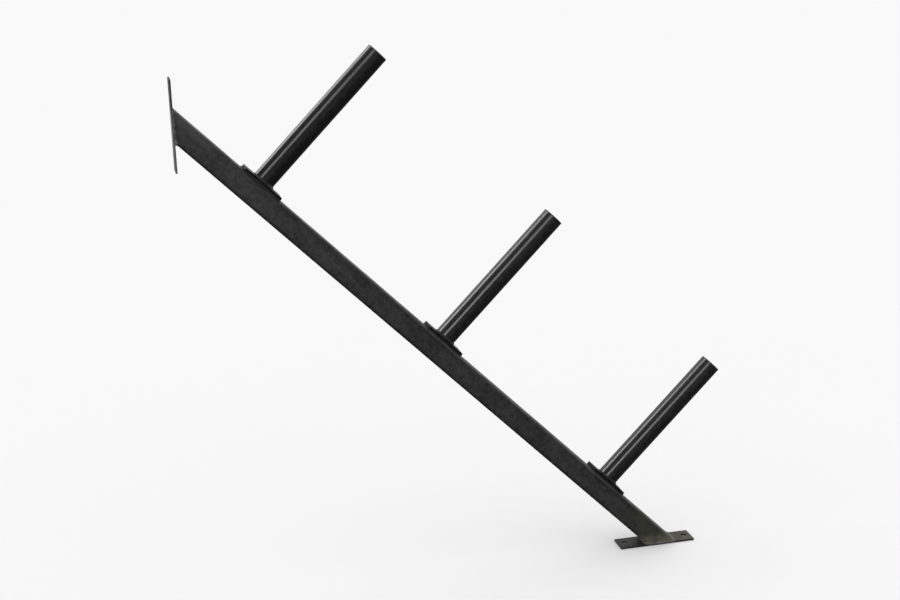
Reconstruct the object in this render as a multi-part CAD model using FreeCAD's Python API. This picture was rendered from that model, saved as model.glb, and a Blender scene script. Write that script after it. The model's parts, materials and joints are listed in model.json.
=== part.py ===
import FreeCAD, Part
import math
import os

# Wall-to-floor diagonal brace with three round storage pegs for weight plates.
# Millimetres. +Z is up, +X points away from the wall, Y runs along the wall.
# The origin is the centre of the foot plate's underside, on the floor.

# ---------------------------------------------------------------- driving dimensions
BEAM_SIDE = 50.0            # square tube, outside
BEAM_WALL = 3.0
BEAM_CORNER = 5.0           # outer corner radius of the tube
BEAM_ANGLE = 45.0           # slope below the horizontal, degrees
BEAM_LENGTH = 1560.0        # along the top face, from mitre to mitre

BAR_WIDTH = 50.0            # flat bar used for every plate
WALL_PLATE_THICKNESS = 4.0
WALL_PLATE_LENGTH = 194.0
FOOT_PLATE_THICKNESS = 5.0
FOOT_PLATE_LENGTH = 184.0
FOOT_PLATE_SHIFT = -7.4     # foot plate's centre from the centre of the mitre, along X
BAR_EDGE = 0.6              # rounding of the bar's rolled and deburred edges
HOLE_DIAMETER = 13.0        # clearance for M12
HOLE_SPACING = 150.0

PEG_DIAMETER = 48.3         # enters the 50 mm bore of a weight plate
PEG_WALL = 3.2
PEG_LENGTH = 363.0          # from the flange to the tip, end cap included
PEG_SPACING = 540.0         # more than the 450 mm diameter of a large weight plate
FIRST_PEG = 241.5           # from the upper mitre to the upper peg's axis
PEG_NAMES = ("upper", "middle", "lower")

FLANGE_THICKNESS = 8.0
FLANGE_LENGTH = 100.0

CAP_HEAD = 3.0              # part of the end cap that covers the tube's rim
CAP_EDGE = 1.0              # rounding of the head
CAP_PLUG = 15.0             # part that sits inside the tube
CAP_PLUG_WALL = 2.0

PEG_WELD_LEG = 6.0
PEG_WELD_BITE = 0.4         # how deep the weld melts into the peg
FLANGE_WELD_LEG = 4.0
FOOT_WELD_LEG = 6.0         # on the beam's upper and lower sides
WALL_WELD_LEG = 3.0
PLATE_WELD_PROUD = 2.0      # how far those two welds stand out beside the beam
PLATE_WELD_TOE = 0.2        # thickness left where they end on the beam

# ---------------------------------------------------------------- derived places
SLOPE = math.radians(BEAM_ANGLE)
MITRE_WALL = BEAM_SIDE / math.cos(SLOPE)      # height of the cut on the wall plate
MITRE_FOOT = BEAM_SIDE / math.sin(SLOPE)      # length of the cut on the foot plate

FOOT_TOP = FOOT_PLATE_THICKNESS                   # height of the foot plate's upper face
FOOT_MITRE_X = MITRE_FOOT / 2 - FOOT_PLATE_SHIFT
WALL_INNER_X = FOOT_MITRE_X - BEAM_LENGTH * math.cos(SLOPE)
WALL_MITRE_Z = FOOT_TOP + BEAM_LENGTH * math.sin(SLOPE)
WALL_PLATE_Z = WALL_MITRE_Z - MITRE_WALL / 2

V = FreeCAD.Vector
ALONG = V(math.cos(SLOPE), 0, -math.sin(SLOPE))     # down the beam
OUT = V(math.sin(SLOPE), 0, math.cos(SLOPE))        # square to the beam's top face
ACROSS = V(0, 1, 0)
BEAM_START = V(WALL_INNER_X, 0, WALL_MITRE_Z)       # upper mitre, middle of the top face


def on_beam(along, out=0.0, across=0.0):
    """A point given by its distances along, above and across the beam's top face."""
    return BEAM_START + ALONG * along + OUT * out + ACROSS * across


def peg_place(index):
    """Distance of a peg's axis down the beam."""
    return FIRST_PEG + index * PEG_SPACING


def bar(corner, first, second, third):
    """A block on three edge vectors from one corner."""
    points = [corner, corner + first, corner + first + second, corner + second, corner]
    return Part.Face(Part.makePolygon(points)).extrude(third)


def rounded_section(half_a, half_b, radius, place):
    """A rounded rectangle's wire: place maps its two coordinates to a point."""
    diagonal = radius * math.sqrt(0.5)
    edges = []
    corners = ((1, 1), (-1, 1), (-1, -1), (1, -1))
    for i, (sa, sb) in enumerate(corners):
        ca, cb = sa * (half_a - radius), sb * (half_b - radius)
        ends = [(ca + sa * radius, cb), (ca, cb + sb * radius)]
        if sa * sb < 0:
            ends.reverse()
        middle = (ca + sa * diagonal, cb + sb * diagonal)
        edges.append(Part.Arc(place(*ends[0]), place(*middle), place(*ends[1])).toShape())
        na, nb = corners[(i + 1) % 4]
        ca, cb = na * (half_a - radius), nb * (half_b - radius)
        start = (ca + na * radius, cb) if na * nb > 0 else (ca, cb + nb * radius)
        edges.append(Part.LineSegment(place(*ends[1]), place(*start)).toShape())
    return Part.Wire(Part.__sortEdges__(edges))


def tube_core(inset):
    """The beam's square section, shrunk by inset, run past both mitres and cut to them."""
    run_out = 2 * BEAM_SIDE
    half = BEAM_SIDE / 2 - inset
    section = rounded_section(
        half, half, BEAM_CORNER - inset,
        lambda a, b: on_beam(-run_out, b - BEAM_SIDE / 2, a))
    solid = Part.Face(section).extrude(ALONG * (BEAM_LENGTH + 2 * run_out))
    reach = BEAM_LENGTH + 2 * run_out
    between_plates = bar(V(WALL_INNER_X, -BEAM_SIDE, FOOT_TOP), V(reach, 0, 0),
                         V(0, 2 * BEAM_SIDE, 0), V(0, 0, reach))
    return solid.common(between_plates).Solids[0]


def diagonal_beam():
    """Square tube, cut off square to the wall plate and to the foot plate."""
    return tube_core(0.0).cut(tube_core(BEAM_WALL))


def flat_bar(corner, first, second, third):
    """A length of flat bar: a block with every outer edge rounded."""
    block = bar(corner, first, second, third)
    return block.makeFillet(BAR_EDGE, block.Edges)


def drilled(plate, centre, axis, spread):
    """Two through holes, either side of the plate's centre along spread."""
    reach = BAR_WIDTH
    for side in (-1, 1):
        start = centre + spread * (side * HOLE_SPACING / 2) - axis * reach
        plate = plate.cut(Part.makeCylinder(HOLE_DIAMETER / 2, 2 * reach, start, axis))
    return plate


def wall_plate():
    low = WALL_PLATE_Z - WALL_PLATE_LENGTH / 2
    corner = V(WALL_INNER_X - WALL_PLATE_THICKNESS, -BAR_WIDTH / 2, low)
    plate = flat_bar(
        corner, V(WALL_PLATE_THICKNESS, 0, 0), V(0, BAR_WIDTH, 0), V(0, 0, WALL_PLATE_LENGTH))
    return drilled(plate, V(WALL_INNER_X, 0, WALL_PLATE_Z), V(1, 0, 0), V(0, 0, 1))


def foot_plate():
    corner = V(-FOOT_PLATE_LENGTH / 2, -BAR_WIDTH / 2, 0)
    plate = flat_bar(
        corner, V(FOOT_PLATE_LENGTH, 0, 0), V(0, BAR_WIDTH, 0), V(0, 0, FOOT_PLATE_THICKNESS))
    return drilled(plate, V(0, 0, 0), V(0, 0, 1), V(1, 0, 0))


def peg_flange(place):
    corner = on_beam(place - FLANGE_LENGTH / 2, 0, -BAR_WIDTH / 2)
    return flat_bar(corner, ALONG * FLANGE_LENGTH, ACROSS * BAR_WIDTH, OUT * FLANGE_THICKNESS)


def peg_tube(place):
    """Round tube whose foot is thinner by the weld's bite, as far up as the weld reaches."""
    base = on_beam(place, FLANGE_THICKNESS)
    length = PEG_LENGTH - CAP_HEAD
    foot = Part.makeCylinder(PEG_DIAMETER / 2 - PEG_WELD_BITE, PEG_WELD_LEG, base, OUT)
    body = Part.makeCylinder(PEG_DIAMETER / 2, length - PEG_WELD_LEG, base + OUT * PEG_WELD_LEG, OUT)
    bore = Part.makeCylinder(PEG_DIAMETER / 2 - PEG_WALL, length, base, OUT)
    return foot.fuse(body).cut(bore)


def peg_end_cap(place):
    """Moulded cap: a head as wide as the tube, and a hollow plug inside it."""
    rim = on_beam(place, FLANGE_THICKNESS + PEG_LENGTH - CAP_HEAD)
    head = Part.makeCylinder(PEG_DIAMETER / 2, CAP_HEAD, rim, OUT)
    outer_edge = max(head.Edges, key=lambda edge: (edge.CenterOfMass - rim).dot(OUT))
    head = head.makeFillet(CAP_EDGE, [outer_edge])
    plug_radius = PEG_DIAMETER / 2 - PEG_WALL
    plug_start = rim - OUT * CAP_PLUG
    plug = Part.makeCylinder(plug_radius, CAP_PLUG, plug_start, OUT)
    plug = plug.cut(Part.makeCylinder(plug_radius - CAP_PLUG_WALL, CAP_PLUG, plug_start, OUT))
    return head.fuse(plug).removeSplitter()


def peg_weld(place):
    """Fillet ring round the peg's foot, trimmed flush with the flange's long edges."""
    base = on_beam(place, FLANGE_THICKNESS)
    outer = PEG_DIAMETER / 2
    cone = Part.makeCone(outer + PEG_WELD_LEG, outer, PEG_WELD_LEG, base, OUT)
    ring = cone.cut(Part.makeCylinder(outer - PEG_WELD_BITE, PEG_WELD_LEG, base, OUT))
    corner = on_beam(place - FLANGE_LENGTH / 2, FLANGE_THICKNESS, -BAR_WIDTH / 2)
    over_flange = bar(corner, ALONG * FLANGE_LENGTH, ACROSS * BAR_WIDTH, OUT * PEG_WELD_LEG)
    return ring.common(over_flange)


def flange_weld(place):
    """Two fillets across the beam, one at each end of the flange."""
    flat_half = BEAM_SIDE / 2 - BEAM_CORNER
    beads = []
    for side in (-1, 1):
        edge = place + side * FLANGE_LENGTH / 2
        points = [on_beam(edge, 0, -flat_half),
                  on_beam(edge + side * FLANGE_WELD_LEG, 0, -flat_half),
                  on_beam(edge, FLANGE_WELD_LEG, -flat_half)]
        triangle = Part.Face(Part.makePolygon(points + points[:1]))
        beads.append(triangle.extrude(ACROSS * (2 * flat_half)))
    return Part.makeCompound(beads)


def mitre_weld(plate_point, into_beam, mitre_axis, lean, leg):
    """Ring round a mitre: wide on the plate, closing onto the beam one leg above it.

    plate_point is the mitre's centre, into_beam the plate's normal, mitre_axis the mitre's
    long direction, and lean how far the beam moves along mitre_axis per unit of into_beam.
    """
    half_mitre = MITRE_FOOT / 2

    def outline(height, grow_long, grow_wide):
        centre = plate_point + into_beam * height + mitre_axis * (lean * height)
        return rounded_section(
            half_mitre + grow_long, BEAM_SIDE / 2 + grow_wide, BEAM_CORNER,
            lambda a, b: centre + mitre_axis * a + ACROSS * b)

    on_plate = outline(0.0, leg, PLATE_WELD_PROUD)
    on_tube = outline(leg, PLATE_WELD_TOE, PLATE_WELD_TOE)
    block = Part.makeLoft([on_plate, on_tube], True, True)
    return block.cut(tube_core(0.0))


def wall_plate_weld():
    centre = V(WALL_INNER_X, 0, WALL_PLATE_Z)
    return mitre_weld(centre, V(1, 0, 0), V(0, 0, 1), -1.0, WALL_WELD_LEG)


def foot_plate_weld():
    centre = V(FOOT_MITRE_X - MITRE_FOOT / 2, 0, FOOT_TOP)
    return mitre_weld(centre, V(0, 0, 1), V(1, 0, 0), -1.0, FOOT_WELD_LEG)


def save(name, shape):
    shape.exportStep(os.path.join("parts", name + ".step"))


os.makedirs("parts", exist_ok=True)
save("diagonal_beam", diagonal_beam())
save("wall_plate", wall_plate())
save("foot_plate", foot_plate())
save("wall_plate_weld", wall_plate_weld())
save("foot_plate_weld", foot_plate_weld())
for index, name in enumerate(PEG_NAMES):
    place = peg_place(index)
    save("peg_flange_" + name, peg_flange(place))
    save("peg_tube_" + name, peg_tube(place))
    save("peg_end_cap_" + name, peg_end_cap(place))
    save("peg_weld_" + name, peg_weld(place))
    save("flange_weld_" + name, flange_weld(place))
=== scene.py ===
import bmesh
import bpy
import json
import math
from mathutils import Matrix, Vector, noise


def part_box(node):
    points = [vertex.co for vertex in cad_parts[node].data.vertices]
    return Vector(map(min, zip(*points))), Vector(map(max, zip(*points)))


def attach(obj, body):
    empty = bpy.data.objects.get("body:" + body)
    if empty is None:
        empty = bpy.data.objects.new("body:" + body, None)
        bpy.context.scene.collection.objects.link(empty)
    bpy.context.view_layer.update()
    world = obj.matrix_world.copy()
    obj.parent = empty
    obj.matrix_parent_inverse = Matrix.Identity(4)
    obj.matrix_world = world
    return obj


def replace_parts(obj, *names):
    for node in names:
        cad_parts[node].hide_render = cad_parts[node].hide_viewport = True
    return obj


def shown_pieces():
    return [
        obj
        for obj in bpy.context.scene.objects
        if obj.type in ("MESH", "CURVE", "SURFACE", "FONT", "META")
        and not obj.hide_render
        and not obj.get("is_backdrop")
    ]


# Looks for a black steel brace that runs from a wall plate down to a foot plate, with three
# round pegs for weight plates. Metres, in the part's own frame: +Z up, +X away from the wall.

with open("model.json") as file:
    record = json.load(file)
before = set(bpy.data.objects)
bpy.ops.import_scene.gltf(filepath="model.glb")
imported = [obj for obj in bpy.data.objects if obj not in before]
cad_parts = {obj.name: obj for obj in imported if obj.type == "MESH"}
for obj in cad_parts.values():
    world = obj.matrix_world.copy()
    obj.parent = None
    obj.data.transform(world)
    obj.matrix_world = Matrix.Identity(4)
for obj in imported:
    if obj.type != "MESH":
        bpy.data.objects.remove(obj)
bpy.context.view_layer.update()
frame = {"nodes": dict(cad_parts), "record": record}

# ---------------------------------------------------------------- places read from the frame
PEG_NAMES = ("upper", "middle", "lower")
MM = 0.001


def mount(name):
    return next(m for m in frame["record"]["mounts"] if m["name"] == name)


OUT = Vector(mount("upper_peg")["axis"]).normalized()       # along the pegs, towards their tips
ACROSS = Vector((0.0, 1.0, 0.0))
ALONG = Vector((OUT.z, 0.0, -OUT.x))                        # down the beam
UP = Vector((0.0, 0.0, 1.0))
WALL_NORMAL = Vector((1.0, 0.0, 0.0))

BEAM_LOW, BEAM_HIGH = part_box("diagonal_beam")
BEAM_HALF = (BEAM_HIGH.y - BEAM_LOW.y) / 2
BEAM_CORNER = 5 * MM
BEAM_TOP = Vector((BEAM_LOW.x, 0.0, BEAM_HIGH.z))           # upper end of the top face's middle
BEAM_AXIS = BEAM_TOP - OUT * BEAM_HALF
FOOT_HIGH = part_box("foot_plate")[1]
WALL_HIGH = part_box("wall_plate")[1]
PLATE_HALF_WIDTH = FOOT_HIGH.y
FLANGE_THICKNESS = 8 * MM
FLANGE_LENGTH = 100 * MM

SLOPE_AXES = (ALONG, ACROSS, OUT)                           # what the beam's faces look along
LEVEL_AXES = (WALL_NORMAL, ACROSS, UP)                      # and the end plates' faces

# ---------------------------------------------------------------- small helpers


def smooth_step(x, low, high):
    t = min(1.0, max(0.0, (x - low) / (high - low)))
    return t * t * (3 - 2 * t)


def wobble(point, wavelength, size, seed):
    """1 give or take size, changing smoothly from place to place."""
    return 1 + size * noise.noise(point / wavelength + Vector((seed, 2.7 * seed, -seed)))


def new_piece(name, points, faces, material, sharp_deg=50):
    """A smooth-shaded mesh object that rides with the part."""
    mesh = bpy.data.meshes.new(name)
    mesh.from_pydata(points, [], faces)
    mesh.validate()
    mesh.polygons.foreach_set("use_smooth", [True] * len(mesh.polygons))
    mesh.set_sharp_from_angle(angle=math.radians(sharp_deg))
    mesh.update()
    piece = bpy.data.objects.new(name, mesh)
    bpy.context.scene.collection.objects.link(piece)
    piece.data.materials.append(material)
    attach(piece, "root")
    return piece


# ---------------------------------------------------------------- weld beads
SECTION_STEPS = 12
STATION_STEP = 0.45 * MM
BEAD_SINK = 0.35 * MM          # how far a bead's toes dip into the steel beside it
RIPPLE_HEIGHT = 0.22 * MM
RIPPLE_PITCH = 2.3 * MM
RIPPLE_BOW = 0.9               # how far the middle of a ripple runs ahead of its ends, in ripples
RIPPLE_MEAN = 0.55
DRIFT_LENGTH = 6 * MM          # length over which the ripples bunch up and spread out
RING_DRIFT, FLANGE_DRIFT = 0.35, 0.30      # how far they stray from even places, in ripples
LUMP_HEIGHT = 0.12 * MM
LUMP_SIZE = 1.6 * MM
MITRE_SEED, PEG_SEED, FLANGE_SEED = 11.0, 21.0, 31.0


def ripple(phase, t):
    """Height of the solidified waves on a bead's face at share t of its width."""
    bow = RIPPLE_BOW * 4 * t * (1 - t)
    wave = abs(math.sin(math.pi * (phase + bow)))
    return (wave - RIPPLE_MEAN) * math.sin(math.pi * t) ** 0.6


def drift(point, size):
    """Shift of the ripples at a point from their even places, in ripples."""
    return size * noise.noise(point / DRIFT_LENGTH)


def bead_section(toe_a, toe_b, root, outward, crown, phase, seed):
    """Closed outline of a bead at one station: its face from toe to toe, then its root."""
    chord = (toe_b - toe_a).normalized()
    rise = (outward - chord * outward.dot(chord)).normalized()
    outline = []
    for i in range(SECTION_STEPS + 1):
        t = i / SECTION_STEPS
        point = toe_a.lerp(toe_b, t)
        height = crown * 4 * t * (1 - t) + RIPPLE_HEIGHT * ripple(phase, t)
        lump = LUMP_HEIGHT * noise.noise(point / LUMP_SIZE + Vector((seed, 0, 0)))
        edge = BEAD_SINK if i in (0, SECTION_STEPS) else 0.0
        outline.append(point + rise * (height + lump * math.sin(math.pi * t) - edge))
    outline.append(root - rise * 3 * BEAD_SINK)
    return outline


def bead_mesh(outlines, closed):
    """Joins the outlines of one bead into a closed skin."""
    ring = len(outlines[0])
    points = [p for outline in outlines for p in outline]
    faces = []
    count = len(outlines)
    for i in range(count if closed else count - 1):
        here, there = i * ring, (i + 1) % count * ring
        for j in range(ring):
            k = (j + 1) % ring
            faces.append((here + j, here + k, there + k, there + j))
    if not closed:
        faces.append(tuple(reversed(range(ring))))
        faces.append(tuple(range((count - 1) * ring, count * ring)))
    return points, faces


def join_beads(name, beads, material):
    """One object from several beads."""
    points, faces = [], []
    for bead_points, bead_faces in beads:
        shift = len(points)
        points += bead_points
        faces += [tuple(shift + i for i in face) for face in bead_faces]
    piece = new_piece(name, points, faces, material)
    fix_normals(piece.data)
    return piece


def fix_normals(mesh):
    b = bmesh.new()
    b.from_mesh(mesh)
    bmesh.ops.recalc_face_normals(b, faces=b.faces)
    b.to_mesh(mesh)
    b.free()


PEG_WELD_LEG = 6 * MM
PEG_WELD_CROWN = 0.7 * MM      # bulge of the fillet's face where it is squeezed
PEG_WELD_HOLLOW = 0.7 * MM     # and how hollow it is at its widest
PEG_WELD_SLIM = 0.40           # how much smaller the fillet is on its uphill side
EDGE_MARGIN = 0.1 * MM         # left free along the flange's long edges


def peg_weld_bead(foot, radius, seed):
    """Fillet round a peg's foot, squeezed where the flange's long edges leave no room."""
    length = 2 * math.pi * (radius + PEG_WELD_LEG / 2)
    count = round(length / STATION_STEP)
    ripples = round(length / RIPPLE_PITCH)
    outlines = []
    for i in range(count):
        angle = 2 * math.pi * i / count
        radial = ALONG * math.cos(angle) + ACROSS * math.sin(angle)
        root = foot + radial * radius
        full_leg = PEG_WELD_LEG * (1 - PEG_WELD_SLIM * max(0.0, -math.cos(angle)))
        leg = full_leg * wobble(root, 14 * MM, 0.10, seed)
        rise = full_leg * wobble(root, 11 * MM, 0.12, seed + 5)
        edge_room = PLATE_HALF_WIDTH / max(abs(radial.y), 1e-6) - radius - EDGE_MARGIN
        squeeze = smooth_step(edge_room, 0.0, 2 * PEG_WELD_LEG)
        spread = min(leg, edge_room)
        crown = PEG_WELD_CROWN * (1 - squeeze) - PEG_WELD_HOLLOW * squeeze
        phase = i * ripples / count + drift(root, RING_DRIFT)
        toe_a, toe_b = root + radial * spread, root + OUT * rise
        outlines.append(bead_section(toe_a, toe_b, root, radial + OUT * 0.4, crown, phase, seed))
    return bead_mesh(outlines, True)


FLANGE_WELD_LEG = 4 * MM
FLANGE_WELD_CROWN = 0.5 * MM
BEAD_END = 4 * MM              # length over which a bead rounds off at its ends


def flange_weld_bead(place, side, seed):
    """Short fillet across the beam against one end of a flange."""
    half = BEAM_HALF - BEAM_CORNER
    count = round(2 * half / STATION_STEP)
    outlines = []
    for i in range(count + 1):
        y = -half + 2 * half * i / count
        root = place + ALONG * (side * FLANGE_LENGTH / 2) + ACROSS * y
        inside = min(1.0, (half - abs(y)) / BEAD_END)
        taper = max(0.03, math.sqrt(1 - (1 - inside) ** 2))
        leg = FLANGE_WELD_LEG * taper * wobble(root, 9 * MM, 0.12, seed)
        rise = FLANGE_WELD_LEG * taper * wobble(root, 8 * MM, 0.10, seed + 3)
        crown = FLANGE_WELD_CROWN * taper
        phase = y / RIPPLE_PITCH + drift(root, FLANGE_DRIFT)
        toe_a, toe_b = root + ALONG * (side * leg), root + OUT * rise
        outlines.append(bead_section(toe_a, toe_b, root, ALONG * side + OUT, crown, phase, seed))
    return bead_mesh(outlines, False)


FOOT_WELD_LEG = 5 * MM
WALL_WELD_LEG = 3 * MM
SEAM_DROP = 3 * MM             # how far the weld laps down a plate's long edge beside the beam
SEAM_RISE = 2.8 * MM           # how far it climbs the beam there
SEAM_CROWN = 1.6 * MM
FILLET_CROWN = 0.3 * MM
HEAP_REACH = 6 * MM            # the bead is heaped this far from the place where it starts
HEAP_RISE = 4.5 * MM
HEAP_CROWN = 0.8 * MM
MITRE_SAMPLES = 1600


def beam_outline(share):
    """Point and outward normal, in (across, out), at a share of the way round the beam's section."""
    flat = 2 * (BEAM_HALF - BEAM_CORNER)
    arc = math.pi / 2 * BEAM_CORNER
    walked = (share % 1.0) * 4 * (flat + arc)
    side, walked = divmod(walked, flat + arc)
    turn = side * math.pi / 2
    if walked < flat:
        across, out, lean = BEAM_HALF, walked - flat / 2, 0.0
    else:
        lean = (walked - flat) / BEAM_CORNER
        across = flat / 2 + BEAM_CORNER * math.cos(lean)
        out = flat / 2 + BEAM_CORNER * math.sin(lean)
    normal = (math.cos(turn + lean), math.sin(turn + lean))
    cos, sin = math.cos(turn), math.sin(turn)
    return (across * cos - out * sin, across * sin + out * cos), normal


def mitre_path(plate_point, into_beam):
    """Even steps round the beam's mitre on a plate: points, each with the beam's surface normal."""
    fine = []
    for i in range(MITRE_SAMPLES + 1):
        (across, out), (n_across, n_out) = beam_outline(i / MITRE_SAMPLES)
        start = BEAM_AXIS + ACROSS * across + OUT * out
        slide = (plate_point - start).dot(into_beam) / ALONG.dot(into_beam)
        normal = ACROSS * n_across + OUT * n_out
        fine.append((start + ALONG * slide, normal))
    lengths = [0.0]
    for (p, _), (q, _) in zip(fine, fine[1:]):
        lengths.append(lengths[-1] + (q - p).length)
    count = round(lengths[-1] / STATION_STEP)
    path, j = [], 0
    for i in range(count):
        target = lengths[-1] * i / count
        while lengths[j + 1] < target:
            j += 1
        t = (target - lengths[j]) / (lengths[j + 1] - lengths[j])
        (here, normal_here), (there, normal_there) = fine[j], fine[j + 1]
        path.append((here.lerp(there, t), normal_here.lerp(normal_there, t).normalized()))
    return path, lengths[-1]


def mitre_weld_bead(plate_point, into_beam, full_leg, seed):
    """Weld all round a mitre: fillets above and below the beam, seams over the plate's edges.

    It is heaped where it starts, at the beam's lower front corner.
    """
    path, length = mitre_path(plate_point, into_beam)
    ripples = round(length / RIPPLE_PITCH)
    start = max(path, key=lambda step: step[1].dot(-ACROSS - OUT))[0]
    outlines = []
    for i, (root, normal) in enumerate(path):
        outward = (normal - into_beam * normal.dot(into_beam)).normalized()
        tangent = into_beam.cross(outward)
        climb = tangent.cross(normal)
        climb = (climb if climb.dot(into_beam) > 0 else -climb).normalized()
        beside = smooth_step(abs(outward.y), 0.3, 0.95)
        leg = full_leg * wobble(root, 13 * MM, 0.12, seed)
        reach = full_leg * (1 - beside) + SEAM_RISE * beside
        heap = math.exp(-((root - start).length / HEAP_REACH) ** 2)
        rise = reach * wobble(root, 11 * MM, 0.14, seed + 5) + HEAP_RISE * heap
        toe_a = root + outward * (leg * (1 - beside) + SEAM_DROP * beside)
        over = abs(toe_a.y) - PLATE_HALF_WIDTH
        if over > 0:
            toe_a.y = math.copysign(PLATE_HALF_WIDTH, toe_a.y)
            toe_a -= into_beam * over
        crown = FILLET_CROWN + (SEAM_CROWN - FILLET_CROWN) * beside + HEAP_CROWN * heap
        phase = i * ripples / len(path) + drift(root, RING_DRIFT)
        outlines.append(bead_section(toe_a, root + climb * rise, root, outward, crown, phase, seed))
    return bead_mesh(outlines, True)


# ---------------------------------------------------------------- end caps
CAP_HEAD = 3 * MM
CAP_TOP_EDGE = 1.2 * MM
CAP_RIM_EDGE = 0.4 * MM
CAP_CROWN = 0.3 * MM
CAP_PLUG_RADIUS = 20.9 * MM
CAP_PLUG = 15 * MM
CAP_RIBS = 3
RIB_START = 2 * MM             # from the plug's end to its first rib
RIB_PITCH = 4 * MM
RIB_DEPTH = 0.5 * MM
GATE_RADIUS = 2.2 * MM
GATE_EDGE = 0.3 * MM
GATE_DEPTH = 0.35 * MM
CROWN_STEPS = 10
CAP_SEGMENTS = 96
PIN_TO_TIP = 1 * MM            # the peg's mount stops this far below its tip


def arc(centre_r, centre_h, radius, start, end, steps):
    """Points of part of a circle, as (radius, height), with angles in degrees from outward."""
    points = []
    for i in range(steps + 1):
        a = math.radians(start + (end - start) * i / steps)
        points.append((centre_r + radius * math.cos(a), centre_h + radius * math.sin(a)))
    return points


def cap_profile(radius):
    """Half outline of a moulded cap: ribbed plug, head with rounded edges, low crown, gate mark."""
    groove = CAP_PLUG_RADIUS - RIB_DEPTH
    profile = [(0.0, -CAP_PLUG), (CAP_PLUG_RADIUS - 2 * RIB_DEPTH, -CAP_PLUG)]
    for i in range(CAP_RIBS):
        rib = -CAP_PLUG + RIB_START + RIB_PITCH * i
        profile += [(groove, rib), (CAP_PLUG_RADIUS, rib + RIB_DEPTH),
                    (CAP_PLUG_RADIUS, rib + 2 * RIB_DEPTH), (groove, rib + 3 * RIB_DEPTH)]
    profile += [(groove, 0.0)]
    profile += arc(radius - CAP_RIM_EDGE, CAP_RIM_EDGE, CAP_RIM_EDGE, -90, 0, 4)
    edge_height = CAP_HEAD - CAP_CROWN - CAP_TOP_EDGE
    profile += arc(radius - CAP_TOP_EDGE, edge_height, CAP_TOP_EDGE, 0, 86, 8)
    start = radius - CAP_TOP_EDGE
    for i in range(1, CROWN_STEPS):
        r = start + (GATE_RADIUS - start) * i / CROWN_STEPS
        profile.append((r, CAP_HEAD - CAP_CROWN * (r / start) ** 2))
    profile += [(GATE_RADIUS, CAP_HEAD), (GATE_RADIUS - GATE_EDGE, CAP_HEAD - GATE_DEPTH)]
    profile += [(0.0, CAP_HEAD - GATE_DEPTH)]
    return profile


def lathe(profile, base, axis, segments):
    """Points and faces of a solid of revolution; the profile starts and ends on the axis."""
    side_a = axis.orthogonal().normalized()
    side_b = axis.cross(side_a)
    points = [base + axis * profile[0][1]]
    for r, h in profile[1:-1]:
        for i in range(segments):
            a = 2 * math.pi * i / segments
            points.append(base + axis * h + (side_a * math.cos(a) + side_b * math.sin(a)) * r)
    points.append(base + axis * profile[-1][1])
    rings = len(profile) - 2
    faces = []
    for i in range(segments):
        k = (i + 1) % segments
        faces.append((0, 1 + k, 1 + i))
        for ring in range(rings - 1):
            low, high = 1 + ring * segments, 1 + (ring + 1) * segments
            faces.append((low + i, low + k, high + k, high + i))
        last = 1 + (rings - 1) * segments
        faces.append((last + i, last + k, len(points) - 1))
    return points, faces


def end_cap(name, tip, radius, material):
    points, faces = lathe(cap_profile(radius), tip - OUT * CAP_HEAD, OUT, CAP_SEGMENTS)
    piece = new_piece("end_cap_" + name, points, faces, material, sharp_deg=35)
    fix_normals(piece.data)
    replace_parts(piece, "peg_end_cap_" + name)


# ---------------------------------------------------------------- material building blocks


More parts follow.
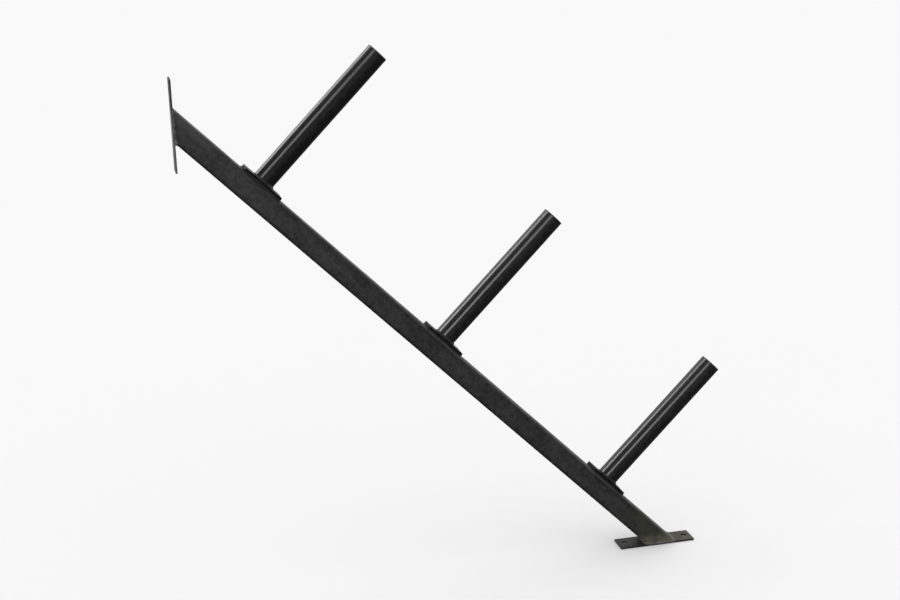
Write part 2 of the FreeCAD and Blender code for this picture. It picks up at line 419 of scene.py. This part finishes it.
class Shader:
    """A material's node tree with short calls for what the recipes below need."""

    def __init__(self, name):
        self.material = bpy.data.materials.new(name)
        self.material.use_nodes = True
        self.tree = self.material.node_tree
        self.bsdf = self.tree.nodes["Principled BSDF"]

    def node(self, kind, **settings):
        made = self.tree.nodes.new(kind)
        for key, value in settings.items():
            setattr(made, key, value)
        return made

    def link(self, source, target):
        self.tree.links.new(source, target)

    def feed(self, socket, value):
        """Links value to the socket if it is a socket, or sets it if it is a number."""
        if isinstance(value, bpy.types.NodeSocket):
            self.link(value, socket)
        else:
            socket.default_value = value

    def place(self):
        return self.node("ShaderNodeTexCoord").outputs["Object"]

    def normal(self):
        return self.node("ShaderNodeNewGeometry").outputs["Normal"]

    def dot(self, vector, direction):
        made = self.node("ShaderNodeVectorMath", operation="DOT_PRODUCT")
        self.feed(made.inputs[0], vector)
        made.inputs[1].default_value = direction
        return made.outputs["Value"]

    def maths(self, operation, first, second=0.0):
        made = self.node("ShaderNodeMath", operation=operation)
        self.feed(made.inputs[0], first)
        self.feed(made.inputs[1], second)
        return made.outputs[0]

    def ramp(self, value, low, high, to_low=0.0, to_high=1.0):
        made = self.node("ShaderNodeMapRange", interpolation_type="SMOOTHSTEP")
        self.feed(made.inputs["Value"], value)
        numbers = {"From Min": low, "From Max": high, "To Min": to_low, "To Max": to_high}
        for key, number in numbers.items():
            made.inputs[key].default_value = number
        return made.outputs["Result"]

    def grain_place(self, directions, scales):
        """The place on the part, turned to the given directions and scaled along each."""
        place = self.place()
        made = self.node("ShaderNodeCombineXYZ")
        for socket, direction, scale in zip(made.inputs, directions, scales):
            self.feed(socket, self.dot(place, direction * scale))
        return made.outputs[0]

    def product(self, first, *others):
        for other in others:
            first = self.maths("MULTIPLY", first, other)
        return first

    def facing_up(self, low, high, to_low=0.0, to_high=1.0):
        return self.ramp(self.dot(self.normal(), UP), low, high, to_low, to_high)

    def noise(self, vector, scale, detail=3.0, rough=0.55, distortion=0.0):
        made = self.node("ShaderNodeTexNoise")
        self.feed(made.inputs["Vector"], vector)
        made.inputs["Scale"].default_value = scale
        made.inputs["Detail"].default_value = detail
        made.inputs["Roughness"].default_value = rough
        made.inputs["Distortion"].default_value = distortion
        return made.outputs[0]

    def mix(self, share, first, second):
        made = self.node("ShaderNodeMix", data_type="RGBA")
        self.feed(made.inputs["Factor"], share)
        for socket, value in ((made.inputs[6], first), (made.inputs[7], second)):
            self.feed(socket, value if isinstance(value, bpy.types.NodeSocket) else (*value, 1.0))
        return made.outputs[2]

    def bump(self, height, strength, distance, under=None):
        made = self.node("ShaderNodeBump")
        made.inputs["Strength"].default_value = strength
        made.inputs["Distance"].default_value = distance
        self.feed(made.inputs["Height"], height)
        if under is not None:
            self.link(under, made.inputs["Normal"])
        return made.outputs["Normal"]

    def edges(self, directions):
        """1 on rounded edges of steel whose faces look along directions, 0 on its flat faces."""
        normal = self.normal()
        biggest = 0.0
        for direction in directions:
            facing = self.maths("ABSOLUTE", self.dot(normal, direction))
            biggest = self.maths("MAXIMUM", biggest, facing)
        return self.ramp(biggest, 0.98, 0.80)

    def finish(self, tone, roughness, specular, normal=None):
        """Feeds the shader's sockets and returns the material."""
        self.feed(self.bsdf.inputs["Base Color"], tone)
        self.feed(self.bsdf.inputs["Roughness"], roughness)
        self.bsdf.inputs["Specular IOR Level"].default_value = specular
        if normal is not None:
            self.link(normal, self.bsdf.inputs["Normal"])
        return self.material


# ---------------------------------------------------------------- materials
DEEP_BLACK = (0.0036, 0.0036, 0.0038)
BLACK = (0.0066, 0.0066, 0.0068)
BLACK_WARM = (0.0200, 0.0200, 0.0195)
OLIVE_SMEAR = (0.0185, 0.0190, 0.0115)
SCRAPED = (0.062, 0.062, 0.061)
WORN = (0.036, 0.036, 0.036)
DUST = (0.105, 0.103, 0.070)
SETTLED_DUST = (0.043, 0.0428, 0.039)
WELD_DUST = (0.150, 0.146, 0.122)
ENAMEL = (0.0050, 0.0050, 0.0051)
ENAMEL_WARM = (0.0095, 0.0095, 0.0095)
FLANGE_BLACK = (0.0028, 0.0028, 0.0029)
FLANGE_WARM = (0.0056, 0.0056, 0.0056)
CAP_BLACK = (0.008, 0.008, 0.0085)
CAP_GREY = (0.015, 0.015, 0.0155)
FLOOR_LOW, FLOOR_HIGH = (0.985, 0.985, 0.985), (0.995, 0.995, 0.995)
WELD_PAINTS = {                 # darkest tone, lightest tone, specular level
    "weld_paint": ((0.006, 0.006, 0.006), (0.014, 0.0138, 0.013), 0.14),
    "weld_paint_worn": ((0.022, 0.022, 0.022), (0.060, 0.0595, 0.058), 0.14),
    "weld_paint_deep": ((0.004, 0.004, 0.004), (0.009, 0.009, 0.0088), 0.03),
}
COAT_SPECULAR = 0.15
PEG_SPECULAR = 0.10
FLANGE_SPECULAR = 0.02
CAP_SPECULAR = 0.30

# heights above the floor from which, and at which, each layer comes in fully
SCRAPED_HEIGHTS = (1.118, 1.080)
ON_WALL_PLATE = (0.5, 0.9)
SETTLED_HEIGHTS = (0.82, 0.58)
OLIVE_SMEAR_HEIGHTS = (0.115, 0.075)
FOOT_HEIGHTS = (0.10, 0.02)
HAZE_HEIGHTS = (0.09, 0.03)
SKIRT_HEIGHTS = (0.038, 0.012)
BEAD_DUST_HEIGHTS = (0.10, 0.0)

# distances from the beam's axis towards the pegs, and from the wall down the beam
TOP_STREAKS = (0.010, 0.017)
LOW_BAND = (-0.014, -0.022)
OFF_MIDDLE = (0.002, 0.018)
PALE_END = (0.15, 0.06)
PEG_REACH = (0.05, 0.36)        # from the beam's top, along which the enamel gets duller
FLANGE_LAP = (4.4 * MM, 2.0 * MM)


def coat_tone(s, directions, grain, wipe_share):
    """Satin black powder coat: clouds, blotches, wipe marks, grit and rubbed upper edges."""
    place = s.place()
    clouds = s.ramp(s.noise(place, 9.0, 4.0), 0.36, 0.66)
    blotches = s.ramp(s.noise(place, 75.0, 3.0, 0.6), 0.34, 0.66)
    share = s.maths("ADD", s.product(clouds, 0.38), s.product(blotches, 0.62))
    tone = s.mix(share, BLACK, BLACK_WARM)
    wipes = s.noise(s.grain_place(directions, grain), 1.0, 5.0, 0.65, 0.6)
    tone = s.mix(s.ramp(wipes, 0.54, 0.76, 0.0, wipe_share), tone, WORN)
    grit = s.noise(place, 180.0, 3.0, 0.75)
    tone = s.mix(s.ramp(grit, 0.44, 0.72, 0.0, 0.30), tone, WORN)
    chips = s.ramp(s.noise(place, 60.0, 4.0, 0.7), 0.42, 0.62)
    rubbed = s.product(s.edges(directions), chips, s.facing_up(-0.1, 0.35), 0.55)
    return s.mix(rubbed, tone, WORN)


def coat_finish(s, tone, dust):
    """Puts dust over the coat, and gives it its uneven satin gloss and orange peel."""
    place = s.place()
    gloss = s.ramp(s.noise(place, 22.0, 4.0, 0.6), 0.3, 0.7, 0.40, 0.54)
    roughness = s.maths("ADD", gloss, s.product(dust, 0.4))
    peel = s.bump(s.noise(place, 620.0, 2.0, 0.5), 0.35, 0.12 * MM)
    fine = s.bump(s.noise(place, 2600.0, 2.0, 0.6), 0.25, 0.04 * MM, peel)
    return s.finish(s.mix(dust, tone, DUST), roughness, COAT_SPECULAR, fine)


def dust_patches(s):
    return s.ramp(s.noise(s.place(), 38.0, 4.0, 0.6), 0.35, 0.70, 0.45, 1.0)


def lying_dust(s):
    """Dust on faces that look straight up, mostly on the side away from the wall; the bare side
    towards the wall, under the beam, is painted shade.
    """
    clear_of_painted_shade = s.ramp(s.dot(s.place(), WALL_NORMAL), -0.035, 0.05, 0.03, 1.0)
    return s.product(s.facing_up(0.75, 0.95, 0.0, 0.36), clear_of_painted_shade)


def beam_coat():
    """Powder coat of the beam: blacker along its edges, with painted shade on the faces that look
    down; dusty on top, paler and olive by the floor.
    """
    s = Shader("powder_coat_beam")
    place = s.place()
    height = s.dot(place, UP)
    above_axis = s.maths("SUBTRACT", s.dot(place, OUT), BEAM_AXIS.dot(OUT))
    from_wall = s.maths("SUBTRACT", s.dot(place, ALONG), BEAM_TOP.dot(ALONG))
    tone = coat_tone(s, SLOPE_AXES, (4.0, 30.0, 30.0), 0.30)

    # streaks by the top edge, then a band along the lower edge
    long_grain = s.noise(s.grain_place(SLOPE_AXES, (9.0, 60.0, 60.0)), 1.0, 4.0, 0.6)
    streaks = s.ramp(long_grain, 0.44, 0.58)
    tone = s.mix(s.product(s.ramp(above_axis, *TOP_STREAKS, 0.0, 0.55), streaks), tone, DEEP_BLACK)
    tone = s.mix(s.ramp(above_axis, *LOW_BAND, 0.0, 0.62), tone, DEEP_BLACK)

    # dark spots and pale flecks, fewer along the middle of the sides
    to_edge = s.ramp(s.maths("ABSOLUTE", above_axis), *OFF_MIDDLE, 0.25, 1.0)
    spots = s.ramp(s.noise(place, 130.0, 2.0, 0.5), 0.54, 0.66, 0.0, 0.75)
    tone = s.mix(s.product(spots, to_edge), tone, DEEP_BLACK)
    flecks = s.ramp(s.noise(place, 150.0, 3.0, 0.6), 0.42, 0.30, 0.0, 0.55)
    tone = s.mix(s.product(flecks, to_edge), tone, WORN)

    # paler by the wall plate, and painted shade: blackest on the rounded lower corners, which look
    # down
    pale_end = s.product(s.ramp(from_wall, *PALE_END, 0.0, 0.50), s.ramp(above_axis, *OFF_MIDDLE))
    tone = s.mix(pale_end, tone, WORN)
    painted_shade_low_edge = s.product(s.facing_up(-0.04, -0.42, 0.0, 0.85), s.facing_up(-0.70, -0.64, 0.15, 1.0))
    tone = s.mix(painted_shade_low_edge, tone, DEEP_BLACK)

    # dust settled on top, olive smears near the floor, and a paler olive grey at the foot
    patches = dust_patches(s)
    settled = s.product(s.facing_up(0.05, 0.40), s.ramp(height, *SETTLED_HEIGHTS), patches)
    tone = s.mix(settled, tone, SETTLED_DUST)
    smears = s.noise(s.grain_place(SLOPE_AXES, (20.0, 60.0, 80.0)), 1.0, 4.0, 0.6)
    olive_smeared = s.product(s.ramp(height, *OLIVE_SMEAR_HEIGHTS, 0.0, 0.85), s.ramp(smears, 0.36, 0.62))
    tone = s.mix(olive_smeared, tone, OLIVE_SMEAR)
    haze = s.ramp(height, *HAZE_HEIGHTS, 0.0, 0.04)
    skirt = s.ramp(height, *SKIRT_HEIGHTS, 0.0, 0.38)
    dust = s.maths("ADD", s.maths("ADD", haze, skirt), lying_dust(s))
    return coat_finish(s, tone, s.product(dust, patches))


def plate_coat():
    """Powder coat of the end plates: scraped low on the wall plate; on the foot plate's top, painted
    shade, with dust on its side away from the wall.
    """
    s = Shader("powder_coat_plates")
    height = s.dot(s.place(), UP)
    tone = coat_tone(s, LEVEL_AXES, (14.0, 60.0, 60.0), 0.55)
    scraped = s.product(s.ramp(height, *SCRAPED_HEIGHTS), s.ramp(height, *ON_WALL_PLATE, 0.0, 0.85))
    uneven = s.ramp(s.noise(s.place(), 90.0, 3.0), 0.3, 0.6, 0.6, 1.0)
    tone = s.mix(s.product(scraped, uneven), tone, SCRAPED)
    # painted shade: the foot plate's top is darkened for the shade under the beam; the dust below
    # pales only its side away from the wall
    foot_top = s.product(s.ramp(height, *FOOT_HEIGHTS), s.facing_up(0.75, 0.95))
    tone = s.mix(s.product(foot_top, 0.45), tone, DEEP_BLACK)
    dust = s.product(lying_dust(s), dust_patches(s), s.ramp(height, *FOOT_HEIGHTS), 1.15)
    return coat_finish(s, tone, dust)


def peg_enamel():
    """Gloss black enamel, duller towards the tips, with faint runs and scuffs from the plates."""
    s = Shader("peg_enamel_paint")
    place = s.place()
    tone = s.mix(s.ramp(s.noise(place, 110.0, 4.0, 0.65), 0.36, 0.66), ENAMEL, ENAMEL_WARM)
    scuffs = s.noise(s.grain_place(SLOPE_AXES, (14.0, 14.0, 900.0)), 1.0, 3.0, 0.6)
    where = s.ramp(s.noise(place, 24.0, 3.0), 0.46, 0.66)
    marks = s.product(s.ramp(scuffs, 0.56, 0.72), where)
    tone = s.mix(s.product(marks, 0.25), tone, WORN)
    sheen = s.noise(s.grain_place(SLOPE_AXES, (90.0, 90.0, 8.0)), 1.0, 4.0, 0.6)
    gloss = s.ramp(sheen, 0.3, 0.7, 0.11, 0.18)
    outwards = s.maths("SUBTRACT", s.dot(place, OUT), BEAM_TOP.dot(OUT))
    gloss = s.maths("ADD", gloss, s.ramp(outwards, *PEG_REACH, 0.0, 0.10))
    roughness = s.maths("ADD", gloss, s.product(marks, 0.12))
    runs = s.noise(s.grain_place(SLOPE_AXES, (70.0, 70.0, 16.0)), 1.0, 2.0, 0.5)
    waves = s.bump(runs, 0.30, 0.25 * MM)
    peel = s.bump(s.noise(place, 300.0, 2.0, 0.5), 0.12, 0.08 * MM, waves)
    return s.finish(tone, roughness, PEG_SPECULAR, s.bump(scuffs, 0.08, 0.03 * MM, peel))


def flange_enamel():
    """Thin dull black on the flanges, greyed low down where the beam's coat laps onto them, with
    painted light on their tops.
    """
    s = Shader("flange_enamel_paint")
    place = s.place()
    tone = s.mix(s.ramp(s.noise(place, 110.0, 4.0, 0.65), 0.36, 0.66), FLANGE_BLACK, FLANGE_WARM)
    lap = s.maths("SUBTRACT", s.dot(place, OUT), BEAM_TOP.dot(OUT))
    lap = s.maths("ADD", lap, s.product(s.noise(place, 130.0, 3.0), 2.0 * MM))
    tone = s.mix(s.ramp(lap, *FLANGE_LAP), tone, BLACK_WARM)
    # painted light: faces that look along the pegs, the flanges' tops, are paler, standing in for
    # the light they catch from above
    tone = s.mix(s.ramp(s.dot(s.normal(), OUT), 0.5, 0.9, 0.0, 0.5), tone, BLACK)
    roughness = s.ramp(s.noise(place, 60.0, 4.0, 0.6), 0.3, 0.7, 0.30, 0.42)
    peel = s.bump(s.noise(place, 500.0, 2.0, 0.5), 0.30, 0.10 * MM)
    return s.finish(tone, roughness, FLANGE_SPECULAR, peel)


def painted_weld(name):
    """Paint over bead metal: grainy, from dark to light, and dusty by the floor."""
    dark, light, specular = WELD_PAINTS[name]
    s = Shader(name)
    place = s.place()
    tone = s.mix(s.ramp(s.noise(place, 120.0, 4.0, 0.65), 0.35, 0.7), dark, light)
    near_floor = s.ramp(s.dot(place, UP), *BEAD_DUST_HEIGHTS)
    dust = s.product(near_floor, s.ramp(s.noise(place, 70.0), 0.3, 0.7, 0.35, 0.8), 0.60)
    roughness = s.ramp(s.noise(place, 300.0, 3.0), 0.3, 0.7, 0.34, 0.52)
    grain = s.bump(s.noise(place, 1400.0, 3.0, 0.6), 0.4, 0.08 * MM)
    return s.finish(s.mix(dust, tone, WELD_DUST), roughness, specular, grain)


def cap_plastic():
    """Moulded black plastic with a fine spark texture."""
    s = Shader("cap_polymer")
    place = s.place()
    tone = s.mix(s.ramp(s.noise(place, 80.0, 4.0), 0.35, 0.7), CAP_BLACK, CAP_GREY)
    roughness = s.ramp(s.noise(place, 150.0, 3.0), 0.3, 0.7, 0.48, 0.62)
    spark = s.bump(s.noise(place, 1800.0, 2.0, 0.6), 0.5, 0.06 * MM)
    return s.finish(tone, roughness, CAP_SPECULAR, spark)


def studio_floor():
    s = Shader("studio_floor")
    return s.finish(s.mix(s.noise(s.place(), 1.2, 2.0), FLOOR_LOW, FLOOR_HIGH), 0.95, 0.0)


# ---------------------------------------------------------------- build


def paint(node, material):
    mesh = frame["nodes"][node].data
    mesh.materials.clear()
    mesh.materials.append(material)


def peg_pin(name):
    """Centre, radius and half length of a peg's mount, which starts above the weld at its foot."""
    pin = mount(name + "_peg")
    return Vector(pin["pos_m"]), pin["dims"]["r_mm"] * MM, pin["dims"]["length_mm"] / 2 * MM


def build_steel():
    plates = plate_coat()
    enamel = peg_enamel()
    flange = flange_enamel()
    paint("diagonal_beam", beam_coat())
    paint("wall_plate", plates)
    paint("foot_plate", plates)
    for name in PEG_NAMES:
        paint("peg_flange_" + name, flange)
        paint("peg_tube_" + name, enamel)


def build_welds():
    thin, worn, deep = [painted_weld(name) for name in WELD_PAINTS]
    foot_top, wall_face = UP * FOOT_HIGH.z, WALL_NORMAL * WALL_HIGH.x
    for seed, (node, point, into_beam, leg, coat) in enumerate((
            ("foot_plate_weld", foot_top, UP, FOOT_WELD_LEG, thin),
            ("wall_plate_weld", wall_face, WALL_NORMAL, WALL_WELD_LEG, worn))):
        bead = mitre_weld_bead(point, into_beam, leg, MITRE_SEED + seed)
        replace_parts(join_beads(node + "_bead", [bead], coat), node)
    for seed, name in enumerate(PEG_NAMES):
        centre, radius, half_length = peg_pin(name)
        foot = centre - OUT * (half_length + PEG_WELD_LEG)
        ring = peg_weld_bead(foot, radius, PEG_SEED + seed)
        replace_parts(join_beads(f"peg_weld_{name}_bead", [ring], thin), "peg_weld_" + name)
        place = foot - OUT * FLANGE_THICKNESS
        beads = [flange_weld_bead(place, side, FLANGE_SEED + 2 * seed + side) for side in (-1, 1)]
        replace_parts(join_beads(f"flange_weld_{name}_bead", beads, deep), "flange_weld_" + name)


def build_caps():
    plastic = cap_plastic()
    for name in PEG_NAMES:
        centre, radius, half_length = peg_pin(name)
        end_cap(name, centre + OUT * (half_length + PIN_TO_TIP), radius, plastic)


# ---------------------------------------------------------------- studio
CAMERA_PLACE = Vector((-1.209, -3.113, 1.547))
CAMERA_YAW, CAMERA_PITCH, CAMERA_ROLL = 13.06, -15.74, -1.62   # degrees
CAMERA_LENS = 59.9
CAMERA_FAR = 200.0
FLOOR_REACH = 60.0
FLOOR_CELLS = 12
SKY_HIGH = (0.955, 0.955, 0.955)
SKY_LOW = (0.20, 0.20, 0.20)   # below the floor's horizon: a dark card under the part
CARD_EDGE, SKY_EDGE = -0.40, -0.06         # the card fades into the sky between these heights


def add_camera():
    yaw, pitch = math.radians(CAMERA_YAW), math.radians(CAMERA_PITCH)
    flat = math.cos(pitch)
    ahead = Vector((math.sin(yaw) * flat, math.cos(yaw) * flat, math.sin(pitch)))
    level = Vector((math.cos(yaw), -math.sin(yaw), 0.0))
    roll = Matrix.Rotation(math.radians(-CAMERA_ROLL), 3, ahead)
    right = roll @ level
    up = right.cross(ahead)
    camera = bpy.data.objects.new("camera", bpy.data.cameras.new("camera"))
    camera.data.lens = CAMERA_LENS
    camera.data.clip_end = CAMERA_FAR
    turn = Matrix((right, up, -ahead)).transposed().to_4x4()
    camera.matrix_world = Matrix.Translation(CAMERA_PLACE) @ turn
    bpy.context.scene.collection.objects.link(camera)
    bpy.context.scene.camera = camera


def add_floor():
    step = 2 * FLOOR_REACH / FLOOR_CELLS
    row = FLOOR_CELLS + 1
    points = [(-FLOOR_REACH + i * step, -FLOOR_REACH + j * step, 0.0)
              for j in range(row) for i in range(row)]
    faces = [(j * row + i, j * row + i + 1, (j + 1) * row + i + 1, (j + 1) * row + i)
             for j in range(FLOOR_CELLS) for i in range(FLOOR_CELLS)]
    mesh = bpy.data.meshes.new("studio_floor")
    mesh.from_pydata(points, [], faces)
    mesh.materials.append(studio_floor())
    floor = bpy.data.objects.new("studio_floor", mesh)
    floor.visible_diffuse = False
    floor.visible_glossy = False
    floor.visible_shadow = False
    bpy.context.scene.collection.objects.link(floor)
    floor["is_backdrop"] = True


def add_sky():
    """Even white light from above, fading to a dark card below, which only the steel sees."""
    world = bpy.data.worlds.new("studio_sky")
    world.use_nodes = True
    tree = world.node_tree
    split = tree.nodes.new("ShaderNodeSeparateXYZ")
    tree.links.new(tree.nodes.new("ShaderNodeTexCoord").outputs["Generated"], split.inputs[0])
    height = tree.nodes.new("ShaderNodeMapRange")
    height.interpolation_type = "SMOOTHSTEP"
    height.inputs["From Min"].default_value = CARD_EDGE
    height.inputs["From Max"].default_value = SKY_EDGE
    tree.links.new(split.outputs["Z"], height.inputs["Value"])
    blend = tree.nodes.new("ShaderNodeMix")
    blend.data_type = "RGBA"
    blend.inputs[6].default_value = (*SKY_LOW, 1.0)
    blend.inputs[7].default_value = (*SKY_HIGH, 1.0)
    tree.links.new(height.outputs["Result"], blend.inputs["Factor"])
    tree.links.new(blend.outputs[2], tree.nodes["Background"].inputs["Color"])
    bpy.context.scene.world = world


PEG_ROW = Vector(mount("middle_peg")["pos_m"])
BOX_DISTANCE = 10.0
UPHILL = -ALONG
UPPER, LOWER, OTHERS = "lit_upper_peg", "lit_lower_pegs", "lit_other_steel"
NARROW, WIDE = (3.2, 4.0), (4.0, 4.0)
SOFT_BOXES = (                  # name, angle, size, radiance, steel that it lights
    ("front_box", 37.0, NARROW, 22.0, OTHERS),
    ("front_box_upper_peg", 52.0, NARROW, 18.0, UPPER),
    ("front_box_lower_pegs", 37.0, NARROW, 22.0, LOWER),
    ("over_box", 112.0, WIDE, 21.0, OTHERS),
    ("over_box_upper_peg", 125.0, WIDE, 13.0, UPPER),
    ("over_box_lower_pegs", 111.0, WIDE, 27.0, LOWER),
    ("rear_box_" + OTHERS, 146.0, WIDE, 2.4, OTHERS),
    ("rear_box_" + UPPER, 146.0, WIDE, 2.4, UPPER),
    ("rear_box_" + LOWER, 146.0, WIDE, 2.4, LOWER),
)


def soft_box(name, angle, size, radiance, steel):
    """A far softbox that looks at the pegs square to their length and lights some steel only.

    angle turns it about the pegs' direction, from straight in front (-Y) up over the high end.
    """
    turn = math.radians(angle)
    width, length = size
    back = -ACROSS * math.cos(turn) + UPHILL * math.sin(turn)
    data = bpy.data.lights.new(name, "AREA")
    data.shape = "RECTANGLE"
    data.size, data.size_y = width, length
    data.energy = radiance * math.pi * width * length
    light = bpy.data.objects.new(name, data)
    axes = Matrix((OUT.cross(back), OUT, back)).transposed().to_4x4()
    light.matrix_world = Matrix.Translation(PEG_ROW + back * BOX_DISTANCE) @ axes
    light.visible_camera = False
    light.light_linking.receiver_collection = steel
    bpy.context.scene.collection.objects.link(light)


def add_lights():
    """The pegs have soft boxes of their own: theirs make the bright lines along the gloss."""
    tubes = [frame["nodes"]["peg_tube_" + name] for name in PEG_NAMES]
    others = [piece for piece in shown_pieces() if piece not in tubes]
    groups = {}
    for name, pieces in ((UPPER, tubes[:1]), (LOWER, tubes[1:]), (OTHERS, others)):
        groups[name] = bpy.data.collections.new(name)
        for piece in pieces:
            groups[name].objects.link(piece)
    for name, angle, size, radiance, lit in SOFT_BOXES:
        soft_box(name, angle, size, radiance, groups[lit])


build_steel()
build_welds()
build_caps()
add_floor()
add_sky()
add_lights()
add_camera()
bpy.context.scene.view_settings.view_transform = "Standard"
